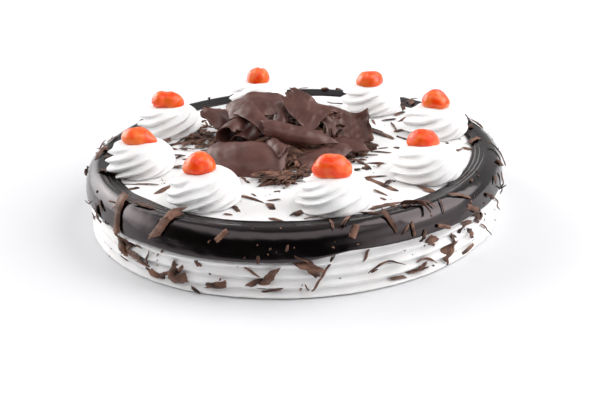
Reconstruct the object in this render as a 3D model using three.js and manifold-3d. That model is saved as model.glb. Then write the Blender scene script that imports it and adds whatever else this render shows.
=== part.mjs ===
// Black forest cake: a low, round cake covered in whipped cream with a combed side,
// a band of dark chocolate glaze round its upper edge, eight piped cream rosettes that
// each carry half a glace cherry, and a heap of large chocolate curls in the middle.
// Millimetres, +Z up, origin at the middle of the underside. The uncut cake is solid.

import * as THREE from 'three';
import { mergeVertices } from 'three/addons/utils/BufferGeometryUtils.js';
import Module from 'manifold-3d';

const wasm = await Module();
wasm.setup();

// Driving dimensions
const GLAZE_RADIUS = 127.5; // the widest part of the cake
const FOOT_RADIUS = 126.9; // cream at the foot of the side
const SIDE_LEAN = 1.6; // how far the side draws in from the foot to the top
const CREAM_TOP = 36.3; // height of the flat cream top
const COMB_PITCH = 6; // spacing of the combed ridges on the side
const COMB_DEPTH = 1.2;
const COMB_FIRST = 1.5; // height of the lowest ridge
const COMB_RIDGES = 5;
const GAP = 0.3; // clearance between neighbouring pieces
const GLAZE_INNER = 108.5; // inner edge of the glaze on the cream top
const GLAZE_CREST = 117.8; // radius of the highest line of the glaze
const GLAZE_RISE = 2.4; // height of that line above the cream top
const LIP_HEIGHT = 22.3; // usual height of the glaze's lower edge
const ROSETTE_RING = 91.5; // radius of the circle that the rosettes stand on
const ROSETTE_RADIUS = 20.7;
const ROSETTE_HEIGHT = 18.8;
const ROSETTE_RIDGES = 11;
const ROSETTE_TWIST = 75; // degrees that a ridge turns from foot to top
const CHERRY_RADIUS = 10.9;
const CHERRY_HEIGHT = 9.4;
const SHEET_THICKNESS = 1.6; // the large chocolate curls
const MOUND_BACK = 4; // how far the mound of shavings sits behind the middle
const ROUND_STEPS = 52; // steps round the cake
const DEGREE = Math.PI / 180;

const cream = new THREE.MeshStandardMaterial({ color: 0xf7f4ef, roughness: 0.6, metalness: 0 });
const glaze = new THREE.MeshStandardMaterial({ color: 0x140d0b, roughness: 0.15, metalness: 0 });
const chocolate = new THREE.MeshStandardMaterial({ color: 0x3a211b, roughness: 0.55, metalness: 0 });
const cherry = new THREE.MeshStandardMaterial({ color: 0xf04416, roughness: 0.15, metalness: 0 });

const cake = new THREE.Group();

function addMesh(parent, name, geometry, material) {
  const mesh = new THREE.Mesh(geometry, material);
  mesh.name = name;
  parent.add(mesh);
  return mesh;
}

// A profile of [radius, height] pairs turned about the vertical axis.
function turned(profile, steps) {
  const points = profile.map(([radius, height]) => new THREE.Vector2(radius, height));
  const geometry = new THREE.LatheGeometry(points, steps);
  geometry.rotateX(Math.PI / 2);
  return geometry;
}

// Moves every vertex of a geometry by a function of its place.
function reshaped(geometry, move) {
  const position = geometry.attributes.position;
  const point = new THREE.Vector3();
  for (let i = 0; i < position.count; i += 1) {
    point.fromBufferAttribute(position, i);
    move(point);
    position.setXYZ(i, point.x, point.y, point.z);
  }
  geometry.computeVertexNormals();
  return geometry;
}

function solidOf(geometry) {
  const bare = geometry.clone();
  bare.deleteAttribute('normal');
  bare.deleteAttribute('uv');
  const merged = mergeVertices(bare, 1e-4);
  const vertProperties = new Float32Array(merged.attributes.position.array);
  const triVerts = new Uint32Array(merged.index.array);
  return new wasm.Manifold(new wasm.Mesh({ numProp: 3, vertProperties, triVerts }));
}

function geometryOf(solid) {
  const { vertProperties, triVerts } = solid.getMesh();
  const geometry = new THREE.BufferGeometry();
  geometry.setAttribute('position', new THREE.BufferAttribute(new Float32Array(vertProperties), 3));
  geometry.setIndex(new THREE.BufferAttribute(new Uint32Array(triVerts), 1));
  geometry.computeVertexNormals();
  return geometry;
}

// The largest body of a cut solid; crumbs that a cut leaves behind are dropped.
function largestOf(solid) {
  const bodies = solid.decompose();
  return bodies.reduce((best, body) => (body.volume() > best.volume() ? body : best));
}

// Cake body: sponge under a coat of cream, the side combed into level ridges. Under the
// glaze the side turns over a rounded shoulder into the flat top.
function cakeBody() {
  const profile = [[0, 0], [FOOT_RADIUS - COMB_DEPTH / 2, 0]];
  for (let ridge = 0; ridge < COMB_RIDGES; ridge += 1) {
    const peak = COMB_FIRST + ridge * COMB_PITCH;
    const crestRadius = FOOT_RADIUS - SIDE_LEAN * (peak / CREAM_TOP);
    profile.push([crestRadius, peak]);
    if (ridge < COMB_RIDGES - 1) {
      profile.push([crestRadius - COMB_DEPTH, peak + COMB_PITCH / 2]);
    }
  }
  profile.push(...shoulder(0), [0, CREAM_TOP]);
  return turned(profile, ROUND_STEPS);
}

// The shoulder between side and top, moved outwards by a clearance.
function shoulder(clearance) {
  const curve = [[125.3, -7.6], [124.2, -4.6], [121.2, -1.8], [116.5, -0.3], [112, 0]];
  return curve.map(([radius, height]) => [
    radius + clearance * 0.9,
    CREAM_TOP + height + clearance,
  ]);
}

// Height of the glaze's lower edge at an angle round the cake. It hangs lowest at the
// front left, climbs quickly just right of the front and falls slowly further round.
function lipHeight(angle) {
  const bump = (centre, before, after) => {
    const away = ((((angle / DEGREE - centre + 180) % 360) + 360) % 360) - 180;
    return Math.exp(-((away / (away < 0 ? before : after)) ** 2));
  };
  const waves = 0.5 * Math.sin(3 * angle + 1.1) + 0.35 * Math.sin(7 * angle + 0.4);
  const rise = 4.1 * bump(-76, 7, 34) + 1.2 * bump(10, 40, 60) - bump(-100, 18, 14);
  return LIP_HEIGHT + rise + waves;
}

// Glaze: a closed ring over the shoulder, with fine rings scribed near its inner edge
// and a rounded, uneven lower lip.
function glazeRing() {
  const top = CREAM_TOP;
  const ridges = [
    [GLAZE_INNER - 0.2, top + 0.9], [GLAZE_INNER + 1, top + 1.7], [GLAZE_INNER + 2.2, top + 1.2],
    [GLAZE_INNER + 3.5, top + 2], [GLAZE_INNER + 4.7, top + 1.5], [GLAZE_INNER + 6, top + 2.3],
    [GLAZE_INNER + 7.2, top + 1.8],
  ];
  const side = [
    [GLAZE_CREST, top + GLAZE_RISE], [121.8, top + 1.3], [125.2, top - 1.4],
    [127.1, top - 4.8], [GLAZE_RADIUS, top - 8.6],
  ];
  const lip = [
    [GLAZE_RADIUS - 0.1, LIP_HEIGHT + 1.4], [GLAZE_RADIUS - 0.6, LIP_HEIGHT],
    [126.3, LIP_HEIGHT + 0.2], [126.1, top - 9.3],
  ];
  const start = [GLAZE_INNER, top + GAP];
  const profile = [start, ...ridges, ...side, ...lip, ...shoulder(GAP), start].reverse();
  return reshaped(turned(profile, ROUND_STEPS), (point) => {
    const fixed = top - 8.6;
    if (point.z < fixed - 1e-3) {
      const share = (fixed - point.z) / (fixed - LIP_HEIGHT);
      point.z = fixed - share * (fixed - lipHeight(Math.atan2(point.y, point.x)));
    }
  });
}

addMesh(cake, 'cake_body', cakeBody(), cream);
addMesh(cake, 'chocolate_glaze_ring', glazeRing(), glaze);

// Rosettes: cream piped through a star nozzle in one turn, so that its ridges run
// slantwise from a bulging foot to a flat crown. The ridges alternate with grooves.
function rosetteGeometry(scale, ridgeDepth, turn) {
  const outline = [
    [0, GAP], [16.4, GAP], [ROSETTE_RADIUS, 3.8], [ROSETTE_RADIUS - 0.2, 9],
    [18.4, 14.4], [12, ROSETTE_HEIGHT], [0, ROSETTE_HEIGHT],
  ];
  const steps = 2 * ROSETTE_RIDGES;
  const geometry = turned(outline.map(([radius, height]) => [radius * scale, height]), steps);
  return reshaped(geometry, (point) => {
    const radius = Math.hypot(point.x, point.y);
    const angle = Math.atan2(point.y, point.x);
    const column = Math.round((angle + Math.PI / 2) / (2 * Math.PI / steps));
    const depth = (column % 2 === 0 ? ridgeDepth : -ridgeDepth) * Math.min(1, point.z / 2);
    const twist = (turn + ROSETTE_TWIST * (point.z / ROSETTE_HEIGHT)) * DEGREE;
    point.x = radius * (1 + depth) * Math.cos(angle + twist);
    point.y = radius * (1 + depth) * Math.sin(angle + twist);
  });
}

// Cherries: halves of a glace cherry, dome upwards, none of them quite round.
function cherryGeometry(squash, lean, turn) {
  const outline = [
    [0, 0], [CHERRY_RADIUS * 0.9, 0], [CHERRY_RADIUS, 3.4],
    [CHERRY_RADIUS * 0.72, 8], [0, CHERRY_HEIGHT],
  ];
  const geometry = turned(outline, 10);
  reshaped(geometry, (point) => {
    point.x += lean * point.z;
    point.y *= squash;
  });
  geometry.rotateZ(turn * DEGREE);
  return geometry;
}

// angle round the cake, distance from the usual circle, size, and the cherry's form
const ROSETTES = [
  { angle: 12.9, out: 1.2, scale: 1, squash: 0.94, lean: 0.1, turn: 20 },
  { angle: 54, out: -0.7, scale: 0.99, squash: 0.9, lean: -0.1, turn: 75 },
  { angle: 104, out: 1.5, scale: 0.98, squash: 0.86, lean: 0.12, turn: 10 },
  { angle: 150.5, out: 1.3, scale: 1.02, squash: 0.84, lean: -0.14, turn: 160 },
  { angle: 194, out: 1.4, scale: 1.03, squash: 0.8, lean: 0.2, turn: 0 },
  { angle: 235.2, out: -1.2, scale: 1, squash: 0.92, lean: -0.16, turn: 30 },
  { angle: 283.2, out: -1.4, scale: 1.04, squash: 0.9, lean: 0.06, turn: 100 },
  { angle: 326.6, out: -1.2, scale: 1.01, squash: 0.88, lean: -0.08, turn: 10 },
];

// The glaze's top as a cutting shape, so that a rosette which overhangs it stays clear.
const glazeClearance = solidOf(turned([
  [GLAZE_INNER - 0.6, CREAM_TOP - 1], [GLAZE_INNER - 0.6, CREAM_TOP + 2.1],
  [GLAZE_CREST, CREAM_TOP + GLAZE_RISE + 0.6], [GLAZE_CREST + 8, CREAM_TOP + 1.8],
  [GLAZE_CREST + 8, CREAM_TOP - 1], [GLAZE_INNER - 0.6, CREAM_TOP - 1],
].reverse(), ROUND_STEPS));

ROSETTES.forEach(({ angle, out, scale, squash, lean, turn }, index) => {
  const distance = ROSETTE_RING + out;
  const x = distance * Math.cos(angle * DEGREE);
  const y = distance * Math.sin(angle * DEGREE);
  const ridgeDepth = 0.075 + 0.01 * (index % 3);
  const piped = solidOf(rosetteGeometry(scale, ridgeDepth, index * 17)).translate([x, y, CREAM_TOP]);
  const clear = largestOf(piped.subtract(glazeClearance)).translate([-x, -y, -CREAM_TOP]);
  const rosette = addMesh(cake, `cream_rosette_${index + 1}`, geometryOf(clear), cream);
  rosette.position.set(x, y, CREAM_TOP);
  const half = addMesh(cake, `cherry_${index + 1}`, cherryGeometry(squash, lean, turn), cherry);
  half.position.set(x, y, CREAM_TOP + ROSETTE_HEIGHT + GAP);
});

// Large chocolate curls: thin sheets scraped from a block, bent along and across.
// place is the middle of the sheet above the middle of the cake's top, widths are those
// at its start, middle and end, arc bends it across its width and bow along its length,
// heading, rise and roll turn it.
const CURLS = [
  { name: 'curl_front_panel', place: [-28, -31, 8], length: 54, widths: [28, 38, 24],
    arc: 60, bow: 34, heading: -10, rise: 0, roll: 27 },
  { name: 'curl_long_pod', place: [5.5, -13.5, 17.5], length: 47, widths: [16, 20, 3],
    arc: 170, bow: 22, heading: -7, rise: -15, roll: 26 },
  { name: 'curl_high_arch', place: [-20.5, 17, 28], length: 41, widths: [14, 22, 12],
    arc: 50, bow: 70, heading: 4, rise: 1, roll: 22 },
  { name: 'curl_arm', place: [-22, 4.5, 23.5], length: 30, widths: [14, 10, 10],
    arc: 30, bow: 36, heading: -50, rise: -17, roll: 18 },
  { name: 'curl_fan', place: [7.5, 9.5, 24.5], length: 32, widths: [8, 21, 20],
    arc: 30, bow: 16, heading: -44, rise: -26, roll: 22 },
  { name: 'curl_right_panel', place: [37, 6.5, 10.5], length: 26, widths: [19, 21, 21],
    arc: -30, bow: -42, heading: 3, rise: 2, roll: 44 },
  { name: 'curl_right_block', place: [25, 4, 13], length: 13, widths: [13, 15, 13],
    arc: 20, bow: 30, heading: 14, rise: -6, roll: 58 },
  { name: 'curl_low_leaf', place: [17, -25, 5.8], length: 38, widths: [10, 16, 6],
    arc: 50, bow: 14, heading: 27, rise: 6, roll: 20 },
  { name: 'curl_right_leaf', place: [33, -9.5, 7], length: 26, widths: [10, 15, 5],
    arc: 70, bow: 20, heading: -24, rise: -4, roll: 22 },
  { name: 'curl_open_roll', place: [-39, 10, 15.5], length: 22, widths: [30, 34, 32],
    arc: 300, bow: 6, heading: 50, rise: 8, roll: -60 },
  { name: 'curl_half_roll', place: [-29, 0.5, 14], length: 17, widths: [18, 24, 20],
    arc: 200, bow: 10, heading: 62, rise: 6, roll: 10 },
  { name: 'curl_left_shard', place: [-47.5, 24, 17], length: 20, widths: [15, 15, 7],
    arc: 30, bow: 25, heading: 160, rise: 20, roll: -24 },
  { name: 'curl_small_twist', place: [-8.5, -28.5, 14.4], length: 21, widths: [12, 16, 9],
    arc: 160, bow: 24, heading: -38, rise: -12, roll: 16 },
  { name: 'curl_inner_twist', place: [-7, 10, 20.5], length: 18, widths: [10, 14, 8],
    arc: 170, bow: 20, heading: 82, rise: 30, roll: 0 },
  { name: 'curl_back_strip', place: [25, 20, 19.5], length: 38, widths: [7, 11, 6],
    arc: 80, bow: 26, heading: -14, rise: -14, roll: -10 },
  { name: 'curl_back_left', place: [-25, 38, 13.5], length: 42, widths: [20, 28, 18],
    arc: 50, bow: 34, heading: -8, rise: 0, roll: -34 },
  { name: 'curl_back_right', place: [14, 38, 13.5], length: 38, widths: [18, 26, 16],
    arc: 46, bow: 30, heading: 10, rise: -3, roll: -36 },
];

// One curl as a bent box. spare makes it thicker and wider, for use as a clearance.
function curlGeometry({ place, length, widths, arc, bow, heading, rise, roll }, spare) {
  const stepsAlong = 4 + Math.round(Math.abs(bow) / 30);
  const stepsAcross = 2 + Math.round(Math.abs(arc) / 60);
  const thickness = SHEET_THICKNESS + 2 * spare;
  const geometry = new THREE.BoxGeometry(1, 1, thickness, stepsAlong, stepsAcross, 1);
  const [start, middle, end] = widths;
  const acrossRadius = middle / (arc * DEGREE);
  const alongRadius = length / (bow * DEGREE);
  reshaped(geometry, (point) => {
    const t = point.x + 0.5;
    const width = start * (1 - t) * (1 - 2 * t) + middle * 4 * t * (1 - t) + end * t * (2 * t - 1);
    const along = point.x * (length + 2 * spare) / alongRadius;
    const across = point.y * (width + 2 * spare) / acrossRadius;
    const lift = (acrossRadius + point.z) * Math.cos(across) - acrossRadius;
    point.y = (acrossRadius + point.z) * Math.sin(across);
    point.x = (alongRadius + lift) * Math.sin(along);
    point.z = (alongRadius + lift) * Math.cos(along) - alongRadius;
  });
  const pose = new THREE.Euler(roll * DEGREE, -rise * DEGREE, heading * DEGREE, 'ZYX');
  geometry.applyMatrix4(new THREE.Matrix4().makeRotationFromEuler(pose));
  geometry.translate(...place);
  return geometry;
}

// The mound of small broken shavings that the curls lie on, with an uneven outline.
function moundGeometry() {
  const outline = [[0, GAP], [43, GAP], [40, 3], [30, 6.5], [18, 10], [0, 11.5]];
  return reshaped(turned(outline, 20), (point) => {
    const angle = Math.atan2(point.y, point.x);
    const uneven = 1 + 0.06 * Math.sin(3 * angle + 0.6) + 0.05 * Math.sin(7 * angle + 2);
    point.x *= uneven * 1.08;
    point.y *= uneven * 0.94;
    point.y += MOUND_BACK;
  });
}

const heap = new THREE.Group();
heap.position.z = CREAM_TOP;
cake.add(heap);

// Each curl gives way to the cream top and to the curls before it, and the mound gives
// way to them all.
const HEAP_SPREAD = 180;
const HEAP_FLOOR = 20;
let taken = solidOf(new THREE.BoxGeometry(HEAP_SPREAD, HEAP_SPREAD, HEAP_FLOOR));
taken = taken.translate([0, 0, GAP - HEAP_FLOOR / 2]);
for (const curl of CURLS) {
  const clear = largestOf(solidOf(curlGeometry(curl, 0)).subtract(taken));
  addMesh(heap, curl.name, geometryOf(clear), chocolate);
  taken = taken.add(solidOf(curlGeometry(curl, GAP)));
}
const mound = largestOf(solidOf(moundGeometry()).subtract(taken));
addMesh(heap, 'shavings_mound', geometryOf(mound), chocolate);

export default cake;
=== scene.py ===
import math

import bpy
import numpy as np
from mathutils import Matrix, Vector


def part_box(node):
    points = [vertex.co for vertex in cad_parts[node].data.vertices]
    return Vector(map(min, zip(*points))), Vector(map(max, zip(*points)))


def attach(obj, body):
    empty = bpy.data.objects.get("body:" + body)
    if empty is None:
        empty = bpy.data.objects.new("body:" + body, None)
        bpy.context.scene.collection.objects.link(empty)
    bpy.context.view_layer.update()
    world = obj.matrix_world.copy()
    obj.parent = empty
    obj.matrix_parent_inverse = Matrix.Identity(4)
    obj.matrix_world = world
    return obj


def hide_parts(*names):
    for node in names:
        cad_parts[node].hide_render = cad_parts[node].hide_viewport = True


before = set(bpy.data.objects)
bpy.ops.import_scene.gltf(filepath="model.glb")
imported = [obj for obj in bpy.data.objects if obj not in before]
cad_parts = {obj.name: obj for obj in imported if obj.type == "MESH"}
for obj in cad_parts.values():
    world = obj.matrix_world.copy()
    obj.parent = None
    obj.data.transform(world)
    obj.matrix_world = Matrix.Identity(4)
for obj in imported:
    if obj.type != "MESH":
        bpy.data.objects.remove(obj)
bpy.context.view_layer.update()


# ---------------------------------------------------------------------------
# The cake. A low round sponge spread with whipped cream. Its side is drawn
# with a toothed comb while it turns, which leaves narrow level ridges with
# rounded grooves between them, and its top is levelled with a palette knife.
# ---------------------------------------------------------------------------
MM = 0.001
cake_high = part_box("cake_body")[1]
cake_radius = cake_high[0]
cake_top = cake_high[2]
comb_pitch = 6.0 * MM
comb_depth = 1.8 * MM
comb_first = 1.5 * MM
comb_wander = 0.35 * MM
side_lean = 1.6 * MM
side_inset = 0.4 * MM
side_bulk = 0.3 * MM
side_top = 29.0 * MM


def ripple(angle, seed, slowest, fastest):
    """Unevenness round the cake: whole-number waves of random size, about -1 to 1."""
    draw = np.random.default_rng(seed)
    total = np.zeros_like(angle)
    for turns in range(slowest, fastest + 1):
        total += draw.normal() * np.sin(turns * angle + draw.uniform(0, 2 * math.pi))
    return total / math.sqrt(fastest - slowest + 1)


def humps(points, seed, size, waves=16):
    """Smooth relief at places in space, in humps about `size` metres across, about -1 to 1."""
    draw = np.random.default_rng(seed)
    heading = draw.normal(size=(waves, 3))
    heading /= np.linalg.norm(heading, axis=1, keepdims=True)
    heading *= (math.pi / size) / draw.uniform(0.6, 1.6, (waves, 1))
    start = draw.uniform(0, 2 * math.pi, waves)
    return np.sin(points @ heading.T + start).sum(axis=-1) * 1.1 / math.sqrt(waves)


def mesh_piece(name, points, faces):
    """A mesh object from plain arrays of points and faces."""
    mesh = bpy.data.meshes.new(name)
    mesh.from_pydata(np.asarray(points).tolist(), [], [list(face) for face in faces])
    mesh.validate()
    mesh.shade_smooth()
    piece = bpy.data.objects.new(name, mesh)
    bpy.context.scene.collection.objects.link(piece)
    return piece


def round_skin(name, grid, first_cap=None, last_cap=None):
    """A closed skin over rows of points that each run round the piece. A cap point closes
    the first and the last row; without caps the last row joins the first."""
    rows, columns = grid.shape[:2]
    index = np.arange(rows * columns).reshape(rows, columns)
    beside = np.roll(index, -1, axis=1)
    if first_cap is None:
        low, high = index, np.roll(index, -1, axis=0)
        low_beside, high_beside = beside, np.roll(beside, -1, axis=0)
    else:
        low, high, low_beside, high_beside = index[:-1], index[1:], beside[:-1], beside[1:]
    faces = np.stack([low, low_beside, high_beside, high], axis=-1).reshape(-1, 4).tolist()
    points = grid.reshape(-1, 3).tolist()
    if first_cap is not None:
        points += [list(first_cap), list(last_cap)]
        centre = rows * columns
        faces += [[centre, right, left] for left, right in zip(index[0], beside[0])]
        faces += [[centre + 1, left, right] for left, right in zip(index[-1], beside[-1])]
    return mesh_piece(name, points, faces)


def comb_side(height, angle):
    """Radius of the combed side at a height and an angle."""
    drift = comb_wander * ripple(angle, 11, 2, 9)
    phase = math.pi * (height + drift - comb_first) / comb_pitch
    groove = np.abs(np.sin(phase)) ** 1.6
    strength = 0.82 + 0.16 * ripple(angle, 12, 3, 24)
    cut = 2 * comb_depth * strength * groove
    bulk = side_bulk * ripple(angle, 13, 2, 7)
    return cake_radius - side_inset - side_lean * height / cake_top - cut + bulk


def cake_skin():
    angle = np.linspace(0, 2 * math.pi, 540, endpoint=False)
    side_heights = np.concatenate([[0.0, 0.25 * MM], np.arange(0.6, side_top / MM, 0.42) * MM])
    rows = []
    for height in side_heights:
        radius = comb_side(height, angle)
        foot = max(0.0, 1 - height / (1.0 * MM))
        radius = radius - foot * (0.9 + 0.5 * ripple(angle, 14, 8, 40)) * MM
        rows.append(np.stack([radius, np.full_like(angle, height)], axis=-1))
    shoulder = [(125.0, -6.6), (124.0, -4.6), (122.6, -2.8), (120.4, -1.4), (117.0, -0.5), (112.0, -0.1)]
    for radius, sink in shoulder:
        level = np.full_like(angle, cake_top + sink * MM)
        rows.append(np.stack([np.full_like(angle, radius * MM), level], axis=-1))
    for radius in np.linspace(110.5, 2.0, 48):
        rows.append(np.stack([np.full_like(angle, radius * MM), np.full_like(angle, cake_top)], axis=-1))
    outline = np.array(rows)
    radius, height = outline[..., 0], outline[..., 1]
    grid = np.stack([radius * np.cos(angle), radius * np.sin(angle), height], axis=-1)
    on_top = np.clip((height - cake_top + 0.4 * MM) / (0.3 * MM), 0, 1)
    knife = 0.16 * MM * np.sin(radius / (3.4 * MM) + 0.8 * np.sin(2 * angle) + angle)
    grid[..., 2] += on_top * (0.3 * MM * humps(grid, 15, 24 * MM) + knife)
    outward = np.stack([np.cos(angle), np.sin(angle), np.zeros_like(angle)], axis=-1)
    torn = 0.12 * MM * humps(grid, 16, 2.6 * MM) + 0.1 * MM * humps(grid, 17, 7 * MM)
    on_side = (height < side_top) & (height > 0.3 * MM)
    grid += np.where(on_side, torn, 0)[..., None] * outward
    return round_skin("cream_cake", grid, first_cap=(0, 0, 0), last_cap=(0, 0, cake_top))


def finish(name, **inputs):
    """A new surface finish, with its shader's plain sockets set."""
    material = bpy.data.materials.new(name)
    material.use_nodes = True
    shader = material.node_tree.nodes["Principled BSDF"]
    for socket, value in inputs.items():
        shader.inputs[socket.replace("_", " ")].default_value = value
    return material, material.node_tree, shader


def tint(tree, shader, first, second, size, detail=4.0):
    """Lets the colour wander between two tints in patches about `size` metres across, and
    gives back the place node that more relief can use."""
    place = tree.nodes.new("ShaderNodeTexCoord")
    noise = tree.nodes.new("ShaderNodeTexNoise")
    noise.inputs["Scale"].default_value = 1 / size
    noise.inputs["Detail"].default_value = detail
    blend = tree.nodes.new("ShaderNodeValToRGB")
    blend.color_ramp.elements[0].position = 0.35
    blend.color_ramp.elements[0].color = (*first, 1)
    blend.color_ramp.elements[1].position = 0.65
    blend.color_ramp.elements[1].color = (*second, 1)
    tree.links.new(place.outputs["Object"], noise.inputs["Vector"])
    tree.links.new(noise.outputs["Fac"], blend.inputs["Fac"])
    tree.links.new(blend.outputs["Color"], shader.inputs["Base Color"])
    return place


def grain(tree, shader, place, size, depth, detail=3.0, below=None):
    """Adds fine relief of a given size and depth, over another relief if one is given."""
    noise = tree.nodes.new("ShaderNodeTexNoise")
    noise.inputs["Scale"].default_value = 1 / size
    noise.inputs["Detail"].default_value = detail
    bump = tree.nodes.new("ShaderNodeBump")
    bump.inputs["Strength"].default_value = 1.0
    bump.inputs["Distance"].default_value = depth
    tree.links.new(place.outputs["Object"], noise.inputs["Vector"])
    tree.links.new(noise.outputs["Fac"], bump.inputs["Height"])
    if below is not None:
        tree.links.new(below.outputs["Normal"], bump.inputs["Normal"])
    tree.links.new(bump.outputs["Normal"], shader.inputs["Normal"])
    return bump


def whipped_cream():
    material, tree, shader = finish("whipped_cream", Roughness=0.55, IOR=1.4)
    place = tint(tree, shader, (0.89, 0.875, 0.87), (0.94, 0.935, 0.935), 16 * MM)
    air = grain(tree, shader, place, 0.9 * MM, 0.06 * MM, detail=5.0)
    grain(tree, shader, place, 4.5 * MM, 0.14 * MM, detail=2.0, below=air)
    shader.inputs["Subsurface Weight"].default_value = 0.15
    shader.inputs["Subsurface Radius"].default_value = (1.0, 0.85, 0.78)
    shader.inputs["Subsurface Scale"].default_value = 1.0 * MM
    return material


cream_finish = whipped_cream()
cream_cake = cake_skin()
cream_cake.data.materials.append(cream_finish)
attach(cream_cake, "root")
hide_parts("cake_body")


# ---------------------------------------------------------------------------
# The glaze. Dark chocolate glaze poured over the upper edge of the cake. Fine
# rings are scribed in it near its inner edge while the cake turns, the rest
# flows smooth over the shoulder, and it ends in a rounded, uneven lip.
# ---------------------------------------------------------------------------
glaze_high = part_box("chocolate_glaze_ring")[1]
glaze_radius = glaze_high[0]
glaze_inner = 108.5 * MM
glaze_crest = 117.8 * MM
glaze_rise = glaze_high[2] - cake_top
lip_height = 22.3 * MM
lip_thickness = 1.3 * MM
ring_pitch = 2.55 * MM
ring_depth = 0.5 * MM


def lip_line(angle):
    """Height of the glaze's lower edge: lowest at the front left, higher just right of it."""

    def bump(centre, before, after):
        away = (np.degrees(angle) - centre + 180) % 360 - 180
        return np.exp(-((away / np.where(away < 0, before, after)) ** 2))

    waves = 0.5 * np.sin(3 * angle + 1.1) + 0.35 * np.sin(7 * angle + 0.4)
    rise = 4.1 * bump(-76, 7, 34) + 1.2 * bump(10, 40, 60) - bump(-100, 18, 14) + 3.4 * bump(186, 15, 22)
    small = 0.22 * ripple(angle, 21, 9, 30)
    return lip_height + (rise + waves + small) * MM


def flowing_line(points, count):
    """A smooth line through a few points, as evenly spaced samples."""
    points = np.asarray(points, float)
    padded = np.concatenate([[2 * points[0] - points[1]], points, [2 * points[-1] - points[-2]]])
    t = np.linspace(0, len(points) - 1, count)
    step = np.minimum(t.astype(int), len(points) - 2)
    t = (t - step)[:, None]
    a, b, c, d = (padded[step + k] for k in range(4))
    return 0.5 * (2 * b + (c - a) * t + (2 * a - 5 * b + 4 * c - d) * t**2 + (3 * b - a - 3 * c + d) * t**3)


# Radius and height in mm of the glaze's outside, from the lip up and inwards: upright at the
# back, leaning in at the front. From the crest to the inner edge it is the same all round.
outline_crest = 17.6 * MM
fall_height = 8.6 * MM
lip_rows, fall_rows = 7, 112
glaze_shoulder = [(119.6, 17.35), (117.4, 17.6), (114.0, 17.0), (111.0, 16.4), (109.4, 16.0)]
glaze_upright = flowing_line([
    (126.9, 1.3), (127.15, 2.2), (127.35, 3.6), (127.5, 5.4), (127.5, 7.2), (127.3, 9.2), (126.6, 11.6),
    (124.9, 14.0), (122.3, 16.1), *glaze_shoulder,
], 96)
glaze_leaning = flowing_line([
    (127.6, 1.3), (127.5, 2.2), (127.2, 3.6), (126.75, 5.4), (126.3, 7.2), (125.75, 9.2), (124.8, 11.6),
    (123.3, 14.0), (121.5, 16.1), *glaze_shoulder,
], 96)


def glaze_surface(share, angle):
    """A place on the outside of the glaze, from 0 at the lip to 1 at the inner edge."""
    samples = np.linspace(0, 1, len(glaze_upright))
    leaning = np.clip(-np.sin(angle) + 0.1, 0, 1) ** 0.7
    upright = np.interp(share, samples, glaze_upright[:, 0])
    radius = (upright + leaning * (np.interp(share, samples, glaze_leaning[:, 0]) - upright)) * MM
    height = np.interp(share, samples, glaze_upright[:, 1]) * MM + 0 * angle
    top_of_fall = cake_top + glaze_rise - outline_crest + fall_height
    fall = (fall_height - height) / fall_height
    height = np.where(height < fall_height, top_of_fall - fall * (top_of_fall - lip_line(angle)),
                      height + top_of_fall - fall_height)
    scribed = np.clip((glaze_crest - 0.6 * MM - radius) / (1.2 * MM), 0, 1)
    scribed = scribed * np.clip((radius - glaze_inner - 0.3 * MM) / (0.8 * MM), 0, 1)
    drift = 0.5 * MM * ripple(angle, 22, 1, 6)
    strength = 0.75 + 0.3 * ripple(angle, 23, 2, 10)
    rings = np.abs(np.cos(math.pi * (radius + drift - glaze_inner) / ring_pitch))
    height = height - ring_depth * strength * scribed * (1 - rings)
    sway = 0.3 * MM * ripple(angle, 24, 3, 8)
    return radius, height + sway * np.clip(share * 3, 0, 1)


def glaze_skin():
    angle = np.linspace(0, 2 * math.pi, 600, endpoint=False)
    rows = []
    lip = lip_line(angle)
    inner_wall = 126.1 * MM
    for turn in np.linspace(-0.5, 0.35, lip_rows) * math.pi:
        middle = glaze_radius - lip_thickness * 0.62
        rows.append((middle + lip_thickness * 0.5 * math.cos(turn) + 0 * angle,
                     lip + lip_thickness * 0.8 + lip_thickness * 0.8 * math.sin(turn)))
    for share in np.linspace(0, 1, fall_rows):
        rows.append(glaze_surface(share, angle))
    edge = glaze_inner + 0.55 * MM * ripple(angle, 25, 5, 26) * 0.6
    edge_heights = cake_top + np.array([1.15, 0.8, 0.45, 0.15]) * MM
    for height, step in zip(edge_heights, (0.35, 0.1, 0.0, 0.05)):
        rows.append((edge + step * MM, height + 0 * angle))
    for radius, height in ((112.0, -0.6), (118.0, -1.4), (122.8, -3.2), (125.2, -7.0)):
        rows.append((radius * MM + 0 * angle, cake_top + height * MM + 0 * angle))
    rows.append((inner_wall - 0.5 * MM + 0 * angle, lip + 3.0 * MM))
    rows.append((inner_wall - 0.3 * MM + 0 * angle, lip + 0.4 * MM))
    radius = np.array([row[0] for row in rows])
    height = np.array([row[1] for row in rows])
    grid = np.stack([radius * np.cos(angle), radius * np.sin(angle), height], axis=-1)
    outward = np.stack([np.cos(angle), np.sin(angle), np.zeros_like(angle)], axis=-1)
    outside = slice(4, lip_rows + fall_rows + 1)
    flow = 0.16 * MM * humps(grid, 26, 22 * MM) + 0.05 * MM * humps(grid, 27, 6 * MM)
    grid[outside] += flow[outside][..., None] * outward
    return round_skin("chocolate_glaze", grid)


def chocolate_glaze():
    material, tree, shader = finish("chocolate_glaze", IOR=1.6, Roughness=0.15)
    place = tint(tree, shader, (0.0010, 0.0008, 0.0008), (0.0022, 0.0015, 0.0014), 12 * MM)
    grain(tree, shader, place, 14 * MM, 0.22 * MM, detail=2.0)
    shader.inputs["Specular Tint"].default_value = (1.0, 0.84, 0.87, 1)
    return material


glaze_finish = chocolate_glaze()
chocolate_glaze_band = glaze_skin()
chocolate_glaze_band.data.materials.append(glaze_finish)
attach(chocolate_glaze_band, "root")
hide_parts("chocolate_glaze_ring")


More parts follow.
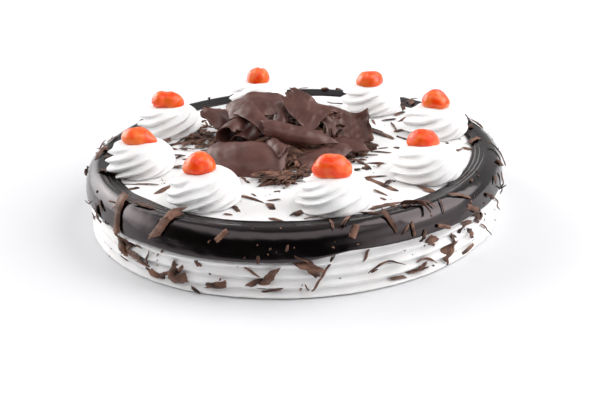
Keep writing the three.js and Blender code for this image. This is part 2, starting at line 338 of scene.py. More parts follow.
# ---------------------------------------------------------------------------
# The rosettes. Whipped cream piped through a large star nozzle in one turn.
# Each tooth leaves a full, rounded ridge, the ridges wind up from a bulging
# foot to a broad crown, and deep creases run between them.
# ---------------------------------------------------------------------------
outline_top = 19.4
outline_in_box = 19.0
rosette_outline = flowing_line([
    (16.4, 0.0), (19.0, 1.2), (20.3, 3.4), (20.5, 6.2), (20.1, 9.0), (19.0, 11.6), (17.6, 13.8),
    (15.4, 16.0), (12.4, 17.8), (8.6, 19.0), (4.4, outline_top), (1.2, outline_top),
], 66)


def rosette(number, ridges, winding, crease, shift, seed):
    """One rosette: its number of ridges, how far they wind in degrees, their creases'
    depth in mm, and how far it was piped off its mark in mm."""
    low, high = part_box(f"cream_rosette_{number}")
    middle = (Vector(low) + Vector(high)) / 2 + Vector((*shift, 0)) * MM
    draw = np.random.default_rng(seed)
    angle = np.linspace(0, 2 * math.pi, 192, endpoint=False)
    radius = rosette_outline[:, 0:1] * MM
    height = rosette_outline[:, 1:2] * (high[2] - low[2]) / outline_in_box
    share = rosette_outline[:, 1:2] / outline_top
    along = np.linspace(0, 1, len(rosette_outline))[:, None]
    phase = angle[None, :] - math.radians(winding) * (0.6 * share + 0.4 * along)
    place = np.stack([radius * np.cos(angle), radius * np.sin(angle), height + 0 * angle], axis=-1) + seed
    uneven = sum(draw.normal() * 0.1 / k * np.sin(k * phase + draw.uniform(0, 6.28)) for k in (1, 2, 3, 4))
    uneven = uneven + 0.16 * humps(place, seed + 5, 14 * MM)
    turn = (ridges * (phase + uneven) / (2 * math.pi)) % 1.0
    fold = np.where(turn < 0.44, turn / 0.88, 0.5 + (turn - 0.44) / 1.12)
    valley = 0.5 - 0.5 * np.cos(2 * math.pi * fold)
    own = 1 + sum(draw.normal() * 0.2 * np.sin(k * phase + draw.uniform(0, 6.28)) for k in (2, 3, 5))
    own = np.clip(own + 0.3 * humps(place, seed, 12 * MM), 0.25, 1.3)
    fade = np.clip(share / 0.08, 0.5, 1) * (1 - 0.8 * np.clip((share - 0.6) / 0.3, 0, 1))
    relief = crease * MM * own * fade * (0.12 - valley) * np.clip(radius / (9 * MM), 0, 1)
    slump = 0.28 * MM * humps(place, seed + 1, 15 * MM) + 0.08 * MM * humps(place, seed + 2, 3.5 * MM)
    spread = radius + relief + slump * np.clip(share * 5, 0, 1) * np.clip(radius / (8 * MM), 0, 1)
    grid = np.stack([spread * np.cos(angle), spread * np.sin(angle), height + 0 * spread], axis=-1)
    grid[..., 2] += 0.35 * MM * humps(place, seed + 3, 10 * MM) * np.clip(share * 2 - 0.8, 0, 1)
    lean = draw.normal(size=2) * 0.02
    grid[..., :2] += lean * grid[..., 2:] + np.array(middle[:2])
    grid[..., 2] += cake_top - 0.25 * MM
    piece = round_skin(f"rosette_{number}", grid, first_cap=(middle[0], middle[1], cake_top - 0.25 * MM),
                       last_cap=grid[-1].mean(axis=0))
    piece.data.materials.append(cream_finish)
    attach(piece, "root")
    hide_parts(f"cream_rosette_{number}")


# Ridges, degrees that they wind, depth of the creases and shift off the mark in mm.
rosette_forms = [
    (7, 220, 3.3, (0, 0)), (7, 225, 3.0, (0, 0)), (7, 215, 3.0, (0, 0)), (6, 215, 3.4, (0, 0)),
    (7, 225, 3.8, (-1.2, 0)), (7, 225, 4.0, (1.9, 0)), (7, 220, 4.6, (0, 0)), (7, 220, 3.8, (0, 0)),
]
for place_in_ring, (ridges, winding, crease, shift) in enumerate(rosette_forms):
    rosette(place_in_ring + 1, ridges, winding, crease, shift, seed=31 + 7 * place_in_ring)


# ---------------------------------------------------------------------------
# The cherries. Halved glace cherries, candied until clear and pressed cut side
# down into the crowns. Each has slumped into its own shape: domed, pointed,
# or folded over like a bean.
# ---------------------------------------------------------------------------
def cherry_half(number, form, size, shift, turn, seed):
    """One half: its form, its width, depth and height in mm, how far it is off its mark in
    mm, and its turn in degrees."""
    low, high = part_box(f"cherry_{number}")
    middle = (Vector(low) + Vector(high)) / 2
    across = np.linspace(0, 2 * math.pi, 60, endpoint=False)
    rings, levels = [0.86, 0.92], [-0.3, -0.26]
    for lift in np.linspace(-0.3, 0.96, 36) * math.pi / 2:
        rings.append(max(0.02, math.cos(lift)) ** 0.95)
        levels.append(math.sin(lift) * (1 if lift > 0 else 0.5))
    x = np.array(rings)[:, None] * np.cos(across)
    y = np.array(rings)[:, None] * np.sin(across)
    height = np.array(levels)[:, None] + 0 * across
    if form == "pointed":
        tip = np.clip(x, 0, 1) ** 1.5
        y = y * (1 - 0.5 * tip)
        height = height * (1 - 0.42 * tip) - 0.1 * tip
        x = x * (1 + 0.12 * tip)
    if form == "bean":
        notch = np.exp(-(((x + 0.1) / 0.26) ** 2))
        y = y + 0.2 * notch * np.clip(-y, 0, 1)
        height = height * (1 - 0.14 * notch)
    if form == "creased":
        height = height - 0.09 * np.exp(-(((x - 0.35 * y - 0.1) / 0.14) ** 2)) * np.clip(height, 0, 1)
    scar = np.hypot(x - 0.3, (y + 0.45) * 1.2)
    height = height + 0.05 * np.exp(-(((scar - 0.34) / 0.07) ** 2)) - 0.05 * np.exp(-((scar / 0.3) ** 2))
    spread = np.array(size) * MM * np.array([0.5, 0.5, 1.0])
    grid = np.stack([x, y, height], axis=-1) * spread
    outward = np.stack([x, y, np.clip(height, 0, 1)], axis=-1)
    place = grid + seed
    slumped = 0.5 * MM * humps(place, seed, 9 * MM) + 0.16 * MM * humps(place, seed + 1, 3.4 * MM)
    grid += slumped[..., None] * outward
    lean = np.random.default_rng(seed).normal(size=2) * 0.07
    spin = (Matrix.Rotation(math.radians(turn), 3, "Z") @ Matrix.Rotation(lean[0], 3, "X")
            @ Matrix.Rotation(lean[1], 3, "Y"))
    grid = grid @ np.array(spin).T + np.array([middle[0], middle[1], low[2]]) + np.array(shift) * MM
    return round_skin(f"cherry_half_{number}", grid, first_cap=grid[0].mean(axis=0),
                      last_cap=grid[-1].mean(axis=0))


def glace_cherry():
    material, tree, shader = finish("glace_cherry", Roughness=0.22, IOR=1.4)
    place = tint(tree, shader, (0.88, 0.058, 0.002), (0.95, 0.19, 0.032), 6 * MM, detail=1.5)
    grain(tree, shader, place, 2.2 * MM, 0.14 * MM, detail=3.0)
    shader.inputs["Subsurface Weight"].default_value = 0.8
    shader.inputs["Subsurface Radius"].default_value = (1.0, 0.25, 0.08)
    shader.inputs["Subsurface Scale"].default_value = 4.0 * MM
    shader.inputs["Coat Weight"].default_value = 0.3
    shader.inputs["Coat Roughness"].default_value = 0.08
    return material


cherry_finish = glace_cherry()
# Form; width, depth and height in mm; shift off the mark in mm; turn in degrees.
cherry_halves = [
    ("domed", (17.0, 16.5, 8.0), (0, 0, 0.6), 8), ("domed", (18.5, 17, 7.2), (0, 0, 0.6), -12),
    ("creased", (16.5, 16.5, 8.0), (0, 0, 0.6), 5), ("bean", (21.0, 16.5, 7.4), (0, 0, 0.6), -4),
    ("pointed", (19.5, 16, 7.2), (-1.6, 1, 0.5), -8), ("domed", (19.0, 17, 8.2), (0.8, 1, 0.6), -14),
    ("domed", (21.4, 17.0, 9.9), (0, 0.5, 0.7), -6), ("domed", (19.0, 16, 7.6), (-0.6, 3.2, -0.5), 6),
]
for order, (form, size, shift, turn) in enumerate(cherry_halves):
    cherry_piece = cherry_half(order + 1, form, size, shift, turn, seed=61 + 5 * order)
    cherry_piece.data.materials.append(cherry_finish)
    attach(cherry_piece, "root")
    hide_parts(f"cherry_{order + 1}")


# ---------------------------------------------------------------------------
# The large curls. Dark chocolate scraped from a block with a wide blade: thin
# sheets that roll up as they come off, with chatter marks across them, thin
# ragged edges and broken ends. They are piled loosely in the middle.
# ---------------------------------------------------------------------------
curl_thickness = 1.25 * MM


def scraped_sheet(length, widths, arc, bow, heading, rise, roll, seed, steps=(48, 34),
                  thickness=curl_thickness, ragged=1.0, chatter=1.0, slash=0.0,
                  tears=(0.7, 1.6, 3.1, 6.3, 12.7), curl_over=0.0):
    """Points and faces of one scraped sheet about its own middle. widths are those at its
    start, middle and end, arc bends it across and bow along, in degrees, ragged and tears
    are how far and in what waves its edges are torn, chatter is how deep the blade's marks
    are, slash slants its ends, curl_over is how far its rim is turned, in mm, and heading,
    rise and roll turn it."""
    along_steps, across_steps = steps
    u = np.linspace(0, 1, along_steps + 1)[:, None]
    v = np.linspace(-1, 1, across_steps + 1)[None, :]
    start, middle, end = (width * MM for width in widths)
    width = start * (1 - u) * (1 - 2 * u) + middle * 4 * u * (1 - u) + end * u * (2 * u - 1)
    draw = np.random.default_rng(seed)

    def torn_edge(t, size):
        total = 0 * t
        for turns in tears:
            depth = draw.normal() / turns**0.9
            total = total + depth * np.sin(turns * 2 * math.pi * t + draw.uniform(0, 6.28))
        return size * total

    side = np.where(v < 0, torn_edge(u, 0.055 * ragged), torn_edge(u, 0.055 * ragged))
    across = v * width / 2 * (1 + side * np.abs(v))
    first_end = torn_edge(v / 2, 0.03 * ragged)
    last_end = torn_edge(v / 2, 0.03 * ragged)
    along = (u - 0.5 + first_end * (1 - u) ** 2 + last_end * u**2) * length * MM + slash * across
    flat = np.stack([along + 0 * across, across + 0 * along, 0 * across + 0 * along], axis=-1)
    sway = 1.2 * np.sin(across / (9 * MM))
    marks = 0.14 * MM * chatter * np.sin(along / (1.5 * MM) + sway + draw.uniform(0, 6))
    wavy = marks + 0.5 * MM * chatter * humps(flat + seed, seed, 13 * MM)
    wavy = wavy + 0.1 * MM * humps(flat, seed + 1, 2.4 * MM)
    rim = np.maximum(np.abs(v) ** 8 + 0 * u, np.abs(2 * u - 1) ** 8 + 0 * v)
    turned = np.maximum(np.abs(v) ** 5 + 0 * u, np.abs(2 * u - 1) ** 7 + 0 * v)
    wavy = wavy + turned * curl_over * MM * (0.6 + 0.8 * humps(flat + 2 * seed, seed + 2, 8 * MM))
    half = thickness / 2 * (1 - 0.62 * rim)
    across_radius = middle / math.radians(arc)
    along_radius = length * MM / math.radians(bow)

    def bent(offset):
        tight = across / across_radius
        lift = (across_radius + offset) * np.cos(tight) - across_radius
        y = (across_radius + offset) * np.sin(tight)
        reach = along / along_radius
        return np.stack([(along_radius + lift) * np.sin(reach), y,
                         (along_radius + lift) * np.cos(reach) - along_radius], axis=-1)

    rows, columns = across.shape
    upper = bent(wavy + half).reshape(-1, 3)
    lower = bent(wavy - half).reshape(-1, 3)
    index = np.arange(rows * columns).reshape(rows, columns)
    faces = np.stack([index[:-1, :-1], index[1:, :-1], index[1:, 1:], index[:-1, 1:]], -1).reshape(-1, 4)
    under = faces[:, ::-1] + rows * columns
    loop = np.concatenate([index[0, :-1], index[:-1, -1], index[-1, :0:-1], index[:0:-1, 0]])
    after = np.roll(loop, -1)
    wall = np.stack([loop, after, after + rows * columns, loop + rows * columns], axis=-1)
    points = np.concatenate([upper, lower])
    turn = (Matrix.Rotation(math.radians(heading), 3, "Z") @ Matrix.Rotation(-math.radians(rise), 3, "Y")
            @ Matrix.Rotation(math.radians(roll), 3, "X"))
    return points @ np.array(turn).T, np.concatenate([faces, under, wall])


def dark_chocolate():
    material, tree, shader = finish("dark_chocolate", Roughness=0.38, IOR=1.55)
    place = tint(tree, shader, (0.073, 0.025, 0.019), (0.122, 0.048, 0.038), 9 * MM, detail=5.0)
    fine = grain(tree, shader, place, 0.7 * MM, 0.05 * MM, detail=4.0)
    grain(tree, shader, place, 6 * MM, 0.06 * MM, detail=2.0, below=fine)
    shader.inputs["Specular Tint"].default_value = (1.0, 0.86, 0.82, 1)
    return material


chocolate_finish = dark_chocolate()
# Lengths, widths and curl_over in mm; arc, bow, heading, rise and roll in degrees.
big_curls = {
    "curl_front_panel": dict(
        length=51, widths=(25, 35, 23), arc=84, bow=40,
        heading=-10, rise=0, roll=24, curl_over=-1.2, chatter=0.5),
    "curl_long_pod": dict(
        length=45, widths=(14, 20, 3), arc=170, bow=22,
        heading=-7, rise=-15, roll=26, curl_over=-1.0, chatter=0.6),
    "curl_high_arch": dict(
        length=41, widths=(14, 22, 12), arc=50, bow=70,
        heading=4, rise=1, roll=22, curl_over=1.3, chatter=0.7),
    "curl_arm": dict(
        length=30, widths=(14, 10, 10), arc=30, bow=36,
        heading=-50, rise=-17, roll=18, curl_over=1.0),
    "curl_fan": dict(
        length=32, widths=(8, 21, 20), arc=30, bow=16,
        heading=-44, rise=-26, roll=22, curl_over=1.6),
    "curl_right_panel": dict(
        length=26, widths=(19, 21, 21), arc=-30, bow=-42,
        heading=3, rise=2, roll=44, curl_over=1.4),
    "curl_right_block": dict(
        length=13, widths=(13, 15, 13), arc=20, bow=30,
        heading=14, rise=-6, roll=58, ragged=2.0, curl_over=1.2),
    "curl_low_leaf": dict(
        length=38, widths=(10, 16, 6), arc=50, bow=14,
        heading=27, rise=6, roll=20, curl_over=-1.2),
    "curl_right_leaf": dict(
        length=26, widths=(10, 15, 5), arc=70, bow=20,
        heading=-24, rise=-4, roll=22, ragged=1.6, curl_over=-1.0),
    "curl_open_roll": dict(
        length=22, widths=(30, 34, 32), arc=300, bow=6,
        heading=50, rise=8, roll=-60, ragged=1.8, curl_over=1.0),
    "curl_half_roll": dict(
        length=14, widths=(16, 20, 15), arc=200, bow=10,
        heading=62, rise=6, roll=10, ragged=2.4),
    "curl_left_shard": dict(
        length=20, widths=(15, 15, 7), arc=30, bow=25,
        heading=160, rise=20, roll=-24, ragged=2.2, curl_over=1.5),
    "curl_small_twist": dict(
        length=16, widths=(9, 12, 9), arc=210, bow=30,
        heading=-58, rise=-12, roll=16, ragged=2.6, curl_over=1.2),
    "curl_inner_twist": dict(
        length=18, widths=(10, 14, 8), arc=170, bow=20,
        heading=82, rise=30, roll=0, ragged=2.4),
    "curl_back_strip": dict(
        length=38, widths=(7, 11, 6), arc=80, bow=26,
        heading=-14, rise=-14, roll=-10, ragged=2.2),
    "curl_back_left": dict(
        length=42, widths=(20, 28, 18), arc=50, bow=34,
        heading=-8, rise=0, roll=-34, curl_over=1.2),
    "curl_back_right": dict(
        length=38, widths=(18, 26, 16), arc=46, bow=30,
        heading=10, rise=-3, roll=-36, curl_over=1.2),
}
for order, (node, form) in enumerate(big_curls.items()):
    points, faces = scraped_sheet(**form, seed=100 + 3 * order)
    low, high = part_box(node)
    seat = (np.array(low) + np.array(high)) / 2
    points = points + seat - (points.min(axis=0) + points.max(axis=0)) / 2
    floor_level = cake_top + 0.1 * MM
    points[:, 2] = np.maximum(points[:, 2], floor_level)
    curl_piece = mesh_piece(node.replace("curl", "big_curl"), points, faces)
    curl_piece.data.materials.append(chocolate_finish)
    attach(curl_piece, "root")
    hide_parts(node)


# ---------------------------------------------------------------------------
# The broken shavings under the curls. Smaller pieces from the same block that
# the large curls are piled on: a low rough bed with loose strips over it.
# ---------------------------------------------------------------------------
def many(parts):
    """Joins several sets of points and faces into one."""
    points, faces, count = [], [], 0
    for some_points, some_faces in parts:
        points.append(some_points)
        faces.append(some_faces + count)
        count += len(some_points)
    return np.concatenate(points), np.concatenate(faces)


mound_low, mound_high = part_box("shavings_mound")
mound_middle = np.array([(mound_low[0] + mound_high[0]) / 2, (mound_low[1] + mound_high[1]) / 2])
mound_reach = (np.array(mound_high[:2]) - np.array(mound_low[:2])) / 2


def mound_height(offset):
    """Height of the bed of shavings over the cream at an offset from its middle."""
    away = np.linalg.norm(offset / mound_reach, axis=-1)
    spread_out = 0.75 * (mound_high[2] - cake_top) * np.clip(1 - away**1.6, 0, 1)
    from_core = np.linalg.norm((offset - np.array([2, 10]) * MM) / (np.array([27, 27]) * MM), axis=-1)
    return np.maximum(spread_out, 15 * MM * np.clip(1 - from_core**1.8, 0, 1))


def shavings_bed():
    angle = np.linspace(0, 2 * math.pi, 160, endpoint=False)
    rows = []
    for away in (0.9, 0.86, 0.8, 0.72, 0.64, 0.55, 0.46, 0.37, 0.28, 0.19, 0.1, 0.04):
        offset = away * mound_reach * np.stack([np.cos(angle), np.sin(angle)], axis=-1)
        offset *= (1 + 0.1 * ripple(angle, 71, 3, 12))[:, None]
        height = cake_top + (mound_height(offset) if away < 0.9 else 0 * angle - 0.2 * MM)
        rows.append(np.concatenate([offset + mound_middle, height[:, None]], axis=-1))
    grid = np.array(rows)
    grid[1:, :, 2] += 0.9 * MM * humps(grid[1:], 72, 4 * MM) + 0.5 * MM * humps(grid[1:], 73, 2 * MM)
    base = (*mound_middle, cake_top - 0.2 * MM)
    peak = (*mound_middle, grid[-1, :, 2].mean())
    return round_skin("shavings_bed", grid, first_cap=base, last_cap=peak)


# Broken pieces wedged between the large curls: x, y, height over the cream, length and
# width in mm, then heading, rise and roll in degrees.
wedged_pieces = [
    (24, 12, 15, 14, 9, 60, 30, 20), (28, 8, 13, 12, 7, -40, 20, -30), (21, 4, 12, 11, 8, 10, 40, 30),
    (30, 3, 10, 13, 6, 80, 10, 20), (25, 16, 16, 12, 6, 20, -20, 50), (-14, 12, 14, 14, 8, 70, 30, 10),
    (-10, 4, 12, 12, 7, -20, 10, 30), (-20, -2, 9, 13, 8, 30, 10, -20), (2, 26, 10, 22, 13, 5, 0, 60),
    (16, 27, 10, 20, 12, -8, 0, 58), (-13, 29, 10, 22, 12, 4, 0, 62), (34, -6, 6, 14, 8, -30, 10, 20),
    (-44, 6, 5, 15, 8, 60, 10, -10), (-40, -8, 3, 14, 8, 15, 5, 15), (38, 6, 8, 12, 8, 30, 30, 40),
    (4, -24, 4, 14, 7, 35, 10, 10), (10, -20, 6, 12, 6, -10, 20, 0), (-4, -14, 8, 12, 8, 20, 20, 10),
]


def loose_strips():
    draw = np.random.default_rng(74)
    parts = []
    for order, (x, y, up, length, width, heading, rise, roll) in enumerate(wedged_pieces):
        points, faces = scraped_sheet(
            length, (width * 0.7, width, width * 0.6), arc=draw.uniform(60, 230), bow=draw.uniform(10, 60),
            heading=heading, rise=rise, roll=roll, seed=180 + order, steps=(24, 18), thickness=0.9 * MM,
            ragged=2.4, chatter=0.6, slash=draw.normal() * 0.4)
        parts.append((points + np.array([x * MM, y * MM, cake_top + up * MM]), faces))
    for strip in range(190):
        angle = draw.uniform(0, 2 * math.pi)
        away = 0.99 * math.sqrt(draw.uniform(0.02, 1.0))
        offset = away * mound_reach * np.array([math.cos(angle), math.sin(angle)])
        length = draw.uniform(6, 17)
        width = draw.uniform(1.8, 6)
        points, faces = scraped_sheet(
            length, (width * draw.uniform(0.5, 1), width, width * draw.uniform(0.2, 0.9)),
            arc=draw.uniform(30, 220), bow=draw.uniform(10, 80), heading=draw.uniform(0, 360),
            rise=draw.normal() * 14, roll=draw.normal() * 35, seed=200 + strip, steps=(14, 6),
            thickness=0.8 * MM, ragged=1.6, chatter=0.4, slash=draw.normal() * 0.6)
        height = cake_top + mound_height(offset) + 1.0 * MM
        parts.append((points + np.array([*(offset + mound_middle), height]), faces))
    points, faces = many(parts)
    points[:, 2] = np.maximum(points[:, 2], cake_top - 0.1 * MM)
    return points, faces


def shaved_chocolate_with_painted_shade():
    material, tree, shader = finish("shaved_chocolate_with_painted_shade", Roughness=0.5, IOR=1.35)
    # The colour wanders at random between two tints: the chocolate's own brown, and a near-black dark end
    # that is painted shade, standing in for the shade in the pits of the heap.
    place = tint(tree, shader, (0.030, 0.012, 0.008), (0.24, 0.12, 0.082), 7 * MM, detail=4.0)
    grain(tree, shader, place, 0.5 * MM, 0.05 * MM, detail=3.0)
    return material


shaved_finish = shaved_chocolate_with_painted_shade()
bed = shavings_bed()
strips = mesh_piece("broken_shavings", *loose_strips())
for shavings_piece in (bed, strips):
    shavings_piece.data.materials.append(shaved_finish)
    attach(shavings_piece, "root")
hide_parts("shavings_mound")


# ---------------------------------------------------------------------------
# The scattered shavings. Slivers, flakes and small rolled curls that fell or
# were thrown on from the same block: they lie on the cream and the glaze and
# stick to the combed side. Pieces of one kind are joined in one mesh.
# ---------------------------------------------------------------------------
glaze_breadth = 32 * MM


def outside_of_cake(angle, out):
    """A place on the cake's outside: its angle, and how far out and down it is from the
    glaze's inner edge."""
    share = np.clip(1 - out / glaze_breadth, 0, 1)
    radius, height = glaze_surface(share, angle)
    lip = lip_line(angle)
    below = np.clip(out - glaze_breadth, 0, None)
    side_height = np.maximum(lip - below, 0.3 * MM)
    on_side = np.clip(below / (1.5 * MM), 0, 1)
    radius = radius + on_side * (comb_side(side_height, angle) - radius)
    height = np.where(out > glaze_breadth, side_height, height)
    inside = out < 0
    radius = np.where(inside, glaze_inner + out, radius)
    height = np.where(inside, cake_top, height)
    return np.stack([radius * np.cos(angle), radius * np.sin(angle), height], axis=-1)


def lay(points, angle, out, slant, lift=0.3, stiffness=0.65):
    """Lays a piece on the cake's outside: angle in degrees, out in mm, slant from level in
    degrees. A stiffness of 1 keeps it as it is, 0 bends it all the way to the cake."""
    raised = points[:, 2:] - 0.65 * points[:, 2].min() + lift * MM
    turn = math.radians(slant)
    level = points[:, 0] * math.cos(turn) - points[:, 1] * math.sin(turn)
    upward = points[:, 0] * math.sin(turn) + points[:, 1] * math.cos(turn)
    mean_radius = 124 * MM
    where = math.radians(angle) + level / mean_radius
    outward = out * MM - upward
    step = 0.8 * MM
    base = outside_of_cake(where, outward)
    along = (outside_of_cake(where + step / mean_radius, outward)
             - outside_of_cake(where - step / mean_radius, outward))
    down = outside_of_cake(where, outward + step) - outside_of_cake(where, outward - step)
    normal = np.cross(down, along)
    normal /= np.maximum(np.linalg.norm(normal, axis=1, keepdims=True), 1e-9)
    laid = base + normal * raised
    centre = np.abs(points[:, :2]).sum(axis=1).argmin()
    face_out, sideways = normal[centre], along[centre] / np.linalg.norm(along[centre])
    stiff = (base[centre] + level[:, None] * sideways + upward[:, None] * np.cross(face_out, sideways)
             + face_out * raised)
    laid = laid + stiffness * (stiff - laid)
    laid[:, 2] = np.maximum(laid[:, 2], 0.05 * MM)
    return laid


def drop(points, x, y, heading, lift=0.6):
    """Drops a piece on the cream at x and y in mm."""
    turn = np.array(Matrix.Rotation(math.radians(heading), 3, "Z"))
    dropped = points @ turn.T + np.array([x * MM, y * MM, cake_top + lift * MM])
    dropped[:, 2] = np.maximum(dropped[:, 2], cake_top - 0.05 * MM)
    return dropped


def shaving(kind, length, width, seed):
    """One small shaving about its own middle: a sliver, a flake, a roll or an arch."""
    draw = np.random.default_rng(seed)
    thin = 0.6 * MM
    if kind == "sliver":
        widths = (width * draw.uniform(0.7, 1.1), width, width * draw.uniform(0.5, 1.1))
        return scraped_sheet(length, widths, arc=draw.uniform(20, 120), bow=draw.uniform(2, 22), heading=0,
                             rise=draw.normal() * 2.5, roll=draw.normal() * 14, seed=seed, steps=(18, 4),
                             thickness=thin, ragged=2.4, chatter=0.35, slash=draw.normal() * 1.2,
                             tears=(2.7, 5.3, 8.9))
    if kind == "flake":
        widths = (width * draw.uniform(0.75, 1.2), width, width * draw.uniform(0.6, 1.2))
        return scraped_sheet(length, widths, arc=draw.uniform(15, 70), bow=draw.uniform(3, 24), heading=0,
                             rise=draw.normal() * 4, roll=draw.normal() * 9, seed=seed, steps=(20, 6),
                             thickness=thin, ragged=3.2, chatter=0.5, slash=draw.normal() * 0.9,
                             tears=(2.3, 4.3, 6.9, 9.1))
    if kind == "arch":
        return scraped_sheet(length, (width, width, width * 0.7), arc=60, bow=80, heading=0, rise=0,
                             roll=-75, seed=seed, steps=(20, 4), thickness=thin, ragged=1.6, chatter=0.3)
    widths = (width * 2.6, width * 3, width * 2.4)
    return scraped_sheet(length, widths, arc=draw.uniform(240, 330), bow=12, heading=0,
                         rise=draw.normal() * 6, roll=draw.uniform(-40, 40), seed=seed, steps=(10, 18),
                         thickness=thin, ragged=1.4, chatter=0.4, slash=draw.normal() * 0.4)


# Pieces on the cream: kind, x, y, heading in degrees, length, width in mm.
on_cream = [
    ("sliver", -89, -46, -14, 21, 1.5), ("flake", -76, -59, 54, 17, 4), ("flake", -24, -74, -38, 19, 3.4),
    ("flake", -32, -88, -68, 9, 2.4), ("sliver", -36, -95, -19, 5, 1.2), ("flake", -13, -87, -78, 9, 3.6),
    ("sliver", -10, -105, -34, 9, 1.8), ("flake", 2, -97, 50, 9, 4), ("sliver", 8, -104, 10, 7, 1),
    ("flake", 50, -91, 28, 22, 3.4), ("flake", 54, -95, -54, 7, 2.6), ("sliver", 79, 84, -19, 9, 1.2),
    ("flake", 76, 75, -90, 14, 2.6), ("flake", 72, 61, 45, 10, 2.4), ("flake", 64, 50, 6, 9, 2.6),
    ("sliver", 66, 36, -83, 17, 1.8), ("flake", 69, 27, 29, 9, 2.6), ("flake", 57, 23, -54, 27, 7),
    ("flake", 49, 3, -50, 9, 5.5), ("sliver", 55, -4, 4, 6, 1.5), ("sliver", 53, -11, -18, 12, 1.5),
    ("sliver", 47, -15, -7, 8, 1.2), ("flake", 41, -29, -34, 16, 2.2), ("sliver", 48, -29, -12, 11, 1.6),
    ("flake", 42, -37, -25, 5, 2.6), ("flake", 37, -39, 20, 4, 2.4), ("sliver", 46, -50, 8, 15, 1.6),
    ("flake", 49, -62, -55, 31, 3.6), ("flake", 48, -75, -51, 12, 1.9), ("flake", 48, -83, -60, 5, 1.8),
    ("flake", 74, -72, -30, 9, 6.5), ("flake", -60, 33, 36, 22, 3), ("sliver", -75, 19, 27, 19, 2.6),
    ("sliver", -72, -6, 53, 10, 1.8), ("flake", -62, 60, 55, 13, 3), ("flake", -54, 26, -20, 16, 3.2),
    ("flake", -66, 26, 70, 12, 3), ("sliver", -50, 14, 10, 17, 2.4), ("flake", -58, 18, 130, 9, 3),
    ("flake", -92, -52, 20, 6, 3), ("flake", -104, -37, -64, 14, 4), ("sliver", -100, -30, -80, 12, 2),
]
# Pieces on the glaze and the side: kind, angle in degrees, mm out from the glaze's inner edge,
# slant from level in degrees, length, width in mm.
on_outside = [
    ("flake", 179, 9, -15, 17, 2.4), ("sliver", 176, 7, 55, 12, 2), ("flake", 219, 17, 98, 25, 6),
    ("flake", 217.5, 13, 130, 12, 4), ("flake", 220, 21, 95, 13, 4), ("flake", 226, 8, 8, 14, 2.4),
    ("flake", 236, 13, 66, 22, 5), ("flake", 237, 8, 80, 10, 4.5), ("sliver", 234.5, 16, 55, 15, 2),
    ("flake", 210, 19, -25, 9, 2.2), ("flake", 208, 28, -60, 11, 3), ("sliver", 213, 33, 60, 11, 1.5),
    ("sliver", 214, 33, -50, 12, 1.3), ("sliver", 214, 14, 10, 6, 1), ("flake", 279, 9, 95, 8, 1.7),
    ("flake", 283, 7, 59, 15, 2.6), ("flake", 252, 15, 45, 8, 3), ("flake", 261, 29, 90, 5, 2),
    ("flake", 293.5, 13, -70, 13, 2.6), ("sliver", 291, 3, -44, 11, 1.8), ("arch", 304, 8, -70, 20, 2.4),
    ("flake", 284, 15, 60, 7, 4), ("sliver", 297, 19, 45, 6, 1.8), ("flake", 299, 20, 88, 8, 2.4),
    ("roll", 308, 26, -28, 9, 1.6), ("sliver", 317, 13, -28, 16, 1.4), ("flake", 320, 24, -38, 11, 3.6),
    ("flake", 354, -2, 40, 6, 3), ("sliver", 12, 6, -85, 5, 1), ("sliver", 352.5, 15, 69, 19, 1.5),
    ("roll", 346, 16, -60, 6, 1.2), ("roll", 329, 22, -40, 6, 1.4), ("flake", 336, 18, 30, 5, 2),
    ("flake", 271.5, 34.5, -40, 21, 5.4), ("flake", 272.5, 34, -52, 12, 2.6),
    ("flake", 263, 41, 60, 18, 5), ("sliver", 259, 39, -30, 10, 1.2), ("flake", 259.5, 45, 31, 8, 2.8),
    ("sliver", 263.5, 49, 20, 13, 1.5), ("sliver", 276, 42, 47, 21, 1.4),
    ("sliver", 270.5, 49, 80, 6, 1.5), ("flake", 245, 37, 90, 6, 2), ("sliver", 244.5, 52, -20, 6, 1.6),
    ("roll", 220.5, 41, -37, 12, 2.4), ("flake", 222.5, 36.5, -40, 15, 4.5),
    ("flake", 225, 42, 10, 14, 8), ("flake", 222, 40, 60, 12, 5), ("sliver", 230, 41, 88, 9, 1.8),
    ("sliver", 228, 46, -5, 10, 1.5), ("roll", 232.5, 48, -50, 10, 2.6), ("roll", 238.5, 45, 75, 10, 3.4),
    ("flake", 240, 47, 20, 11, 6), ("flake", 235.5, 47, 30, 7, 2), ("flake", 245.5, 37, -70, 4, 1.6),
    ("flake", 219, 49, -20, 5, 2.2), ("flake", 301.5, 31, 66, 8, 2.2), ("flake", 305, 37, 15, 7, 4),
    ("flake", 311.5, 46, 45, 15, 7.5), ("flake", 312.5, 42, 80, 8, 2), ("flake", 301.5, 50, 35, 9, 4.5),
    ("arch", 304, 48, -20, 13, 2), ("arch", 292, 43, 0, 22, 1.8), ("sliver", 289, 47, 30, 4, 1),
    ("flake", 301, 53, 0, 13, 2), ("flake", 295, 54, 0, 9, 1.8), ("flake", 318.5, 36, -10, 9, 2.4),
    ("flake", 320.5, 44, -50, 19, 2.6), ("sliver", 319.5, 53, 5, 12, 1.8), ("roll", 326, 38, -45, 9, 2.4),
    ("flake", 324, 36, -60, 12, 4), ("sliver", 328.5, 46, -60, 17, 1.5),
    ("sliver", 341, 41, -80, 12, 1.5), ("sliver", 341, 33, -75, 19, 1.2),
    ("flake", 343, 30, -75, 18, 2.2), ("flake", 197, 33, 88, 6, 2.2), ("flake", 198, 43, 80, 8, 3),
    ("sliver", 205, 36, -40, 7, 1.5),
]


